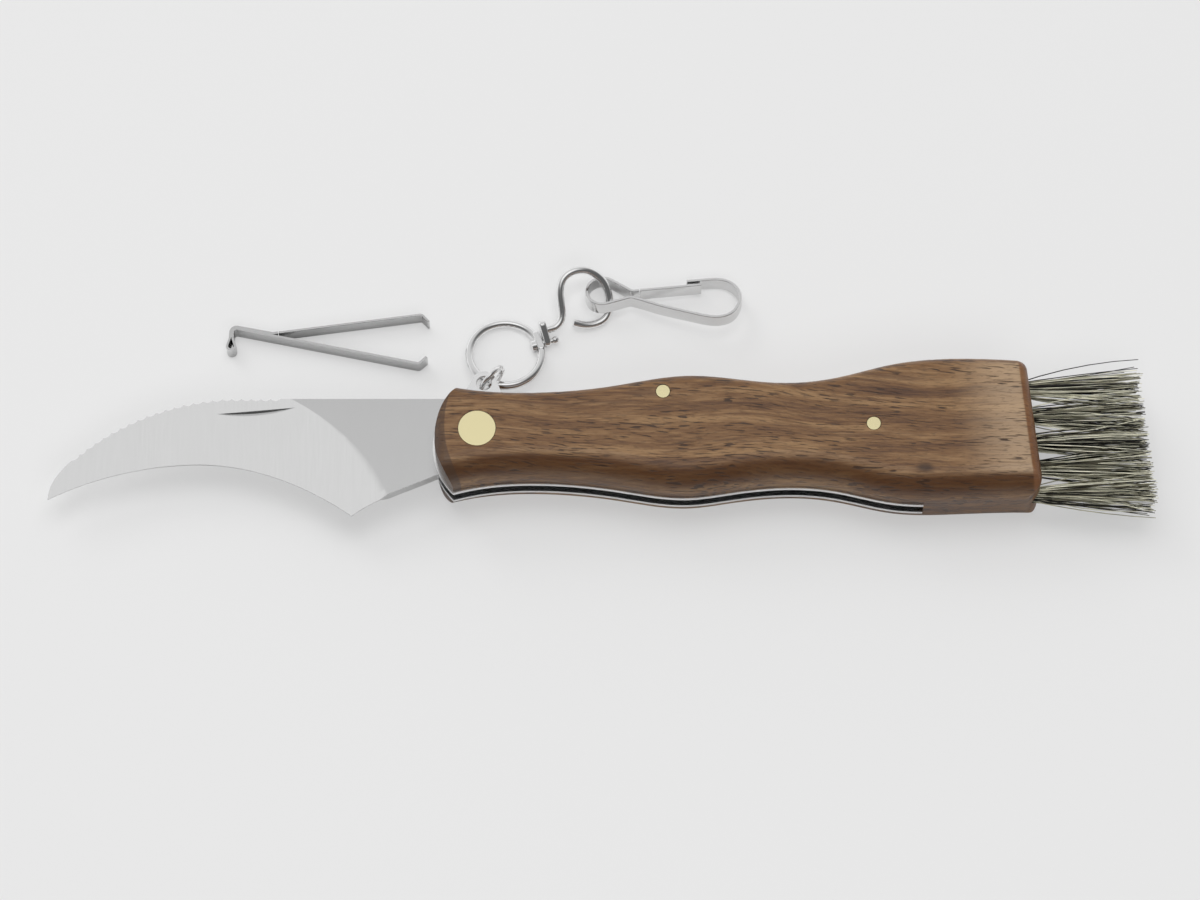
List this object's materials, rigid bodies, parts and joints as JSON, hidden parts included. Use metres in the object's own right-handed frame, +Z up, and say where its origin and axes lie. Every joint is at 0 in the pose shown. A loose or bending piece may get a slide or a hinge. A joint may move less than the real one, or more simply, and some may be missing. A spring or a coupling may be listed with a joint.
{
  "type": "mushroom knife",
  "caption": "Folding mushroom knife with a hooked blade, a slotted wooden handle, a row of brush tufts in its butt, a lanyard swivel with a spring hook, and loose tweezers.",
  "frame": {"origin": "on the resting face, under the middle of the blade's pivot, with the knife open and lying on its side", "axes": "+X from the pivot along the handle to the brush, so the open blade points along -X; +Y to the knife's back, where the spring and the lanyard ear are; +Z up, along the pivot, away from the table"},
  "size_m": [0.2044, 0.0515, 0.016],
  "materials": {
    "walnut": "oiled, slightly glossy",
    "liner_steel": "satin",
    "spring_steel": "satin",
    "pin_steel": "satin",
    "brass": "polished",
    "blade_steel": "satin",
    "fitting_steel": "polished",
    "bristle": "natural hair"
  },
  "bodies": {
    "handle": {"handle_body": "walnut", "liner_front": "liner_steel", "liner_back": "liner_steel", "back_spring_root": "spring_steel", "pivot_pin": "pin_steel", "pivot_cap_front": "brass", "pivot_cap_back": "brass", "spring_pin": "brass", "rear_pin": "brass", "tuft_staples": "pin_steel", "bristle_tuft_1": "bristle", "bristle_tuft_2": "bristle", "bristle_tuft_3": "bristle", "bristle_tuft_4": "bristle", "bristle_tuft_5": "bristle"},
    "spring": {"back_spring_arm": "spring_steel"},
    "blade": {"blade": "blade_steel"},
    "jump_ring": {"jump_ring": "fitting_steel"},
    "swivel_ring": {"swivel_ring": "fitting_steel", "swivel_pin": "fitting_steel"},
    "swivel_eye": {"swivel_eye": "fitting_steel"},
    "hook": {"spring_hook": "fitting_steel"},
    "gate": {"hook_gate": "fitting_steel"},
    "tweezers": {"tweezers_body": "fitting_steel"},
    "tweezers_arm": {"tweezers_arm": "fitting_steel"}
  },
  "joints": [
    {"name": "blade_fold", "type": "hinge", "parent": "handle", "child": "blade", "pos_m": [0, 0, 0.008], "axis": [0, 0, 1], "range_deg": [0, 164]},
    {"name": "spring_rock", "type": "hinge", "parent": "handle", "child": "spring", "pos_m": [0.0342, 0.0073, 0.008], "axis": [0, 0, -1], "range_deg": [0, 2], "stiffness_Nm_per_rad": 20},
    {"name": "jump_ring_swing", "type": "hinge", "parent": "handle", "child": "jump_ring", "pos_m": [0.00227, 0.01416, 0.00625], "axis": [0.7431, -0.6691, 0], "range_deg": [0, 60]},
    {"name": "ring_tilt", "type": "hinge", "parent": "jump_ring", "child": "swivel_ring", "pos_m": [0.0023, 0.01423, 0.00293], "axis": [0.9286, -0.3695, 0.0343], "range_deg": [0, 60]},
    {"name": "swivel_turn", "type": "hinge", "parent": "swivel_ring", "child": "swivel_eye", "pos_m": [0.00482, 0.02047, 0.00191], "axis": [0.943, 0.3247, -0.0731], "continuous": true},
    {"name": "hook_swing", "type": "hinge", "parent": "swivel_eye", "child": "hook", "pos_m": [0.01936, 0.03417, 0.00152], "axis": [-0.321, -0.8931, 0.315], "range_deg": [0, 60]},
    {"name": "gate_press", "type": "hinge", "parent": "hook", "child": "gate", "pos_m": [0.03002, 0.03255, 0.00244], "axis": [0, -0.342, -0.9397], "range_deg": [0, 12], "stiffness_Nm_per_rad": 0.2},
    {"name": "tweezers_lift", "type": "slide", "parent": "handle", "child": "tweezers", "axis": [0, 0, 1], "range_m": [0, 0.03]},
    {"name": "tweezers_squeeze", "type": "hinge", "parent": "tweezers", "child": "tweezers_arm", "pos_m": [-0.03788, 0.02433, 0.0017], "axis": [0, 0, -1], "range_deg": [0, 12], "stiffness_Nm_per_rad": 0.2}
  ]
}
